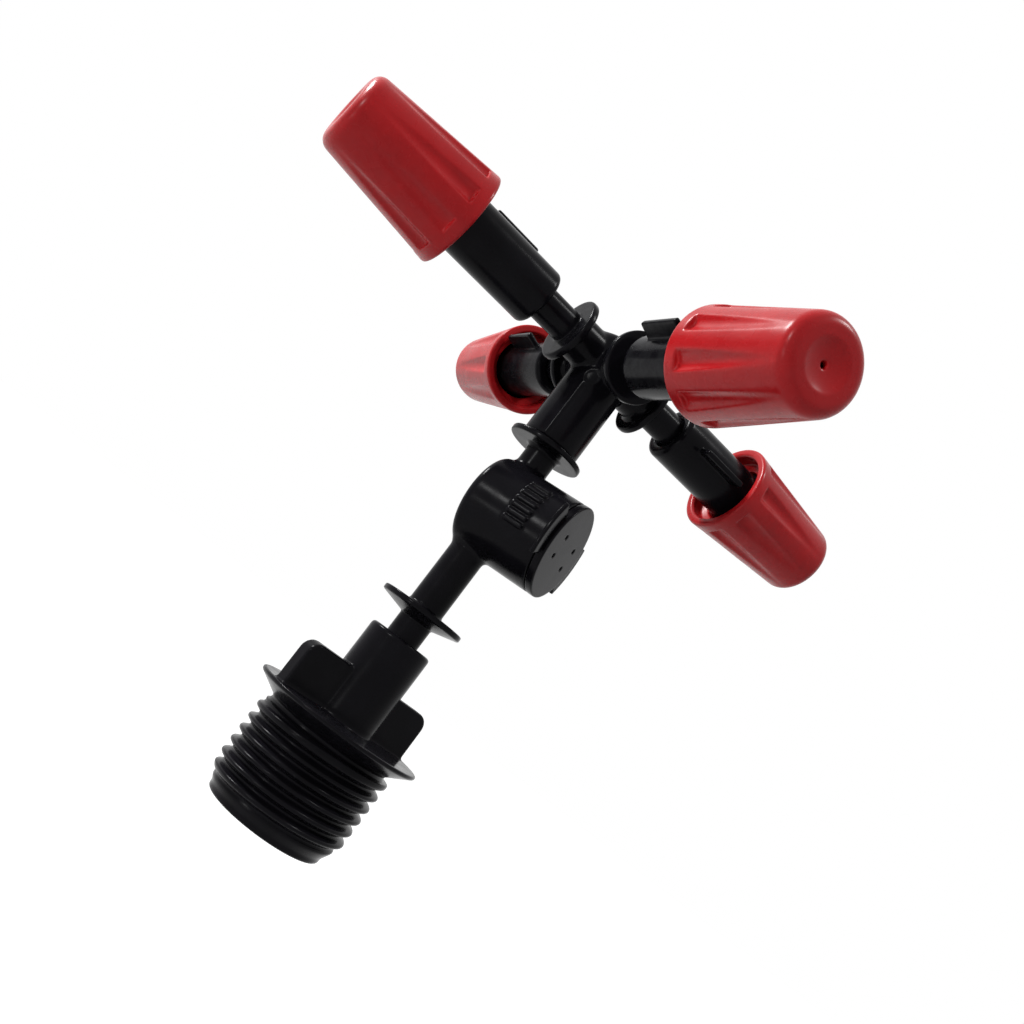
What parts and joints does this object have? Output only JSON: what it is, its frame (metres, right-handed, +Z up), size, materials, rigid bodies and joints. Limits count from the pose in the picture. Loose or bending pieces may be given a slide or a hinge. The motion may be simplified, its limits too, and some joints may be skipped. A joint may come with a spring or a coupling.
{
  "type": "misting sprinkler",
  "caption": "Cross-shaped misting sprinkler: threaded inlet adapter, spring check valve and swivelling nozzles with red screw-down caps.",
  "frame": {"origin": "centre of the inlet adapter's bottom rim, on the thread's axis", "axes": "+Z up the main axis from the thread to the cross hub; +X along the valve drum's axis, out of its cover; the nozzle arms lie at 45 degrees between X and Y"},
  "size_m": [0.0756, 0.0756, 0.0856],
  "materials": {
    "black_moulding": "satin moulded acetal",
    "red_moulding": "glossy moulded",
    "white_moulding": "satin moulded",
    "silicone": "matte translucent silicone",
    "rubber": "matte",
    "spring_steel": "drawn stainless wire"
  },
  "bodies": {
    "adapter": {"inlet_adapter": "black_moulding"},
    "valve": {"valve_body": "black_moulding", "valve_diaphragm": "silicone"},
    "cover": {"valve_cover": "black_moulding", "valve_spring": "spring_steel"},
    "plunger": {"valve_plunger": "white_moulding"},
    "hub": {"cross_hub": "black_moulding"},
    "nozzle_right_front": {"nozzle_body_right_front": "black_moulding", "swirl_core_right_front": "white_moulding"},
    "ring_right_front": {"seal_ring_right_front": "rubber"},
    "cap_right_front": {"nozzle_cap_right_front": "red_moulding"},
    "nozzle_right_back": {"nozzle_body_right_back": "black_moulding", "swirl_core_right_back": "white_moulding"},
    "ring_right_back": {"seal_ring_right_back": "rubber"},
    "cap_right_back": {"nozzle_cap_right_back": "red_moulding"},
    "nozzle_left_back": {"nozzle_body_left_back": "black_moulding", "swirl_core_left_back": "white_moulding"},
    "ring_left_back": {"seal_ring_left_back": "rubber"},
    "cap_left_back": {"nozzle_cap_left_back": "red_moulding"},
    "nozzle_left_front": {"nozzle_body_left_front": "black_moulding", "swirl_core_left_front": "white_moulding"},
    "ring_left_front": {"seal_ring_left_front": "rubber"},
    "cap_left_front": {"nozzle_cap_left_front": "red_moulding"}
  },
  "joints": [
    {"name": "valve_swivel", "type": "hinge", "parent": "adapter", "child": "valve", "pos_m": [0, 0, 0.0256], "axis": [0, 0, 1], "continuous": true},
    {"name": "cover_twist", "type": "hinge", "parent": "valve", "child": "cover", "pos_m": [0.007, 0, 0.05194], "axis": [-1, 0, 0], "range_deg": [0, 60]},
    {"name": "plunger_lift", "type": "slide", "parent": "valve", "child": "plunger", "axis": [1, 0, 0], "range_m": [0, 0.0012], "stiffness_N_per_m": 50, "springref_m": -0.0004, "deforming": ["valve_spring"]},
    {"name": "hub_swivel", "type": "hinge", "parent": "valve", "child": "hub", "pos_m": [0, 0, 0.067], "axis": [0, 0, 1], "continuous": true},
    {"name": "nozzle_swivel_right_front", "type": "hinge", "parent": "hub", "child": "nozzle_right_front", "pos_m": [0.01237, -0.01237, 0.0781], "axis": [0.7071, -0.7071, 0], "continuous": true},
    {"name": "cap_travel_right_front", "type": "slide", "parent": "nozzle_right_front", "child": "ring_right_front", "axis": [0.7071, -0.7071, 0], "range_m": [-0.00295, 0.00145]},
    {"name": "cap_screw_right_front", "type": "hinge", "parent": "ring_right_front", "child": "cap_right_front", "pos_m": [0.02588, -0.02588, 0.0781], "axis": [0.7071, -0.7071, 0], "range_deg": [-354.1, 174.1]},
    {"name": "nozzle_swivel_right_back", "type": "hinge", "parent": "hub", "child": "nozzle_right_back", "pos_m": [0.01237, 0.01237, 0.0781], "axis": [0.7071, 0.7071, 0], "continuous": true},
    {"name": "cap_travel_right_back", "type": "slide", "parent": "nozzle_right_back", "child": "ring_right_back", "axis": [0.7071, 0.7071, 0], "range_m": [-0.0014, 0.003]},
    {"name": "cap_screw_right_back", "type": "hinge", "parent": "ring_right_back", "child": "cap_right_back", "pos_m": [0.02588, 0.02588, 0.0781], "axis": [0.7071, 0.7071, 0], "range_deg": [-168.1, 360.1]},
    {"name": "nozzle_swivel_left_back", "type": "hinge", "parent": "hub", "child": "nozzle_left_back", "pos_m": [-0.01237, 0.01237, 0.0781], "axis": [-0.7071, 0.7071, 0], "continuous": true},
    {"name": "cap_travel_left_back", "type": "slide", "parent": "nozzle_left_back", "child": "ring_left_back", "axis": [-0.7071, 0.7071, 0], "range_m": [-0.0001, 0.0043]},
    {"name": "cap_screw_left_back", "type": "hinge", "parent": "ring_left_back", "child": "cap_left_back", "pos_m": [-0.02588, 0.02588, 0.0781], "axis": [-0.7071, 0.7071, 0], "range_deg": [-12.1, 516.1]},
    {"name": "nozzle_swivel_left_front", "type": "hinge", "parent": "hub", "child": "nozzle_left_front", "pos_m": [-0.01237, -0.01237, 0.0781], "axis": [-0.7071, -0.7071, 0], "continuous": true},
    {"name": "cap_travel_left_front", "type": "slide", "parent": "nozzle_left_front", "child": "ring_left_front", "axis": [-0.7071, -0.7071, 0], "range_m": [-0.00325, 0.00115]},
    {"name": "cap_screw_left_front", "type": "hinge", "parent": "ring_left_front", "child": "cap_left_front", "pos_m": [-0.02588, -0.02588, 0.0781], "axis": [-0.7071, -0.7071, 0], "range_deg": [-390.1, 138.1]}
  ],
  "couplings": [
    {"joint": "cap_screw_right_front", "follows": "cap_travel_right_front", "rad_per_m": 2094.4},
    {"joint": "cap_screw_right_back", "follows": "cap_travel_right_back", "rad_per_m": 2094.4},
    {"joint": "cap_screw_left_back", "follows": "cap_travel_left_back", "rad_per_m": 2094.4},
    {"joint": "cap_screw_left_front", "follows": "cap_travel_left_front", "rad_per_m": 2094.4}
  ]
}
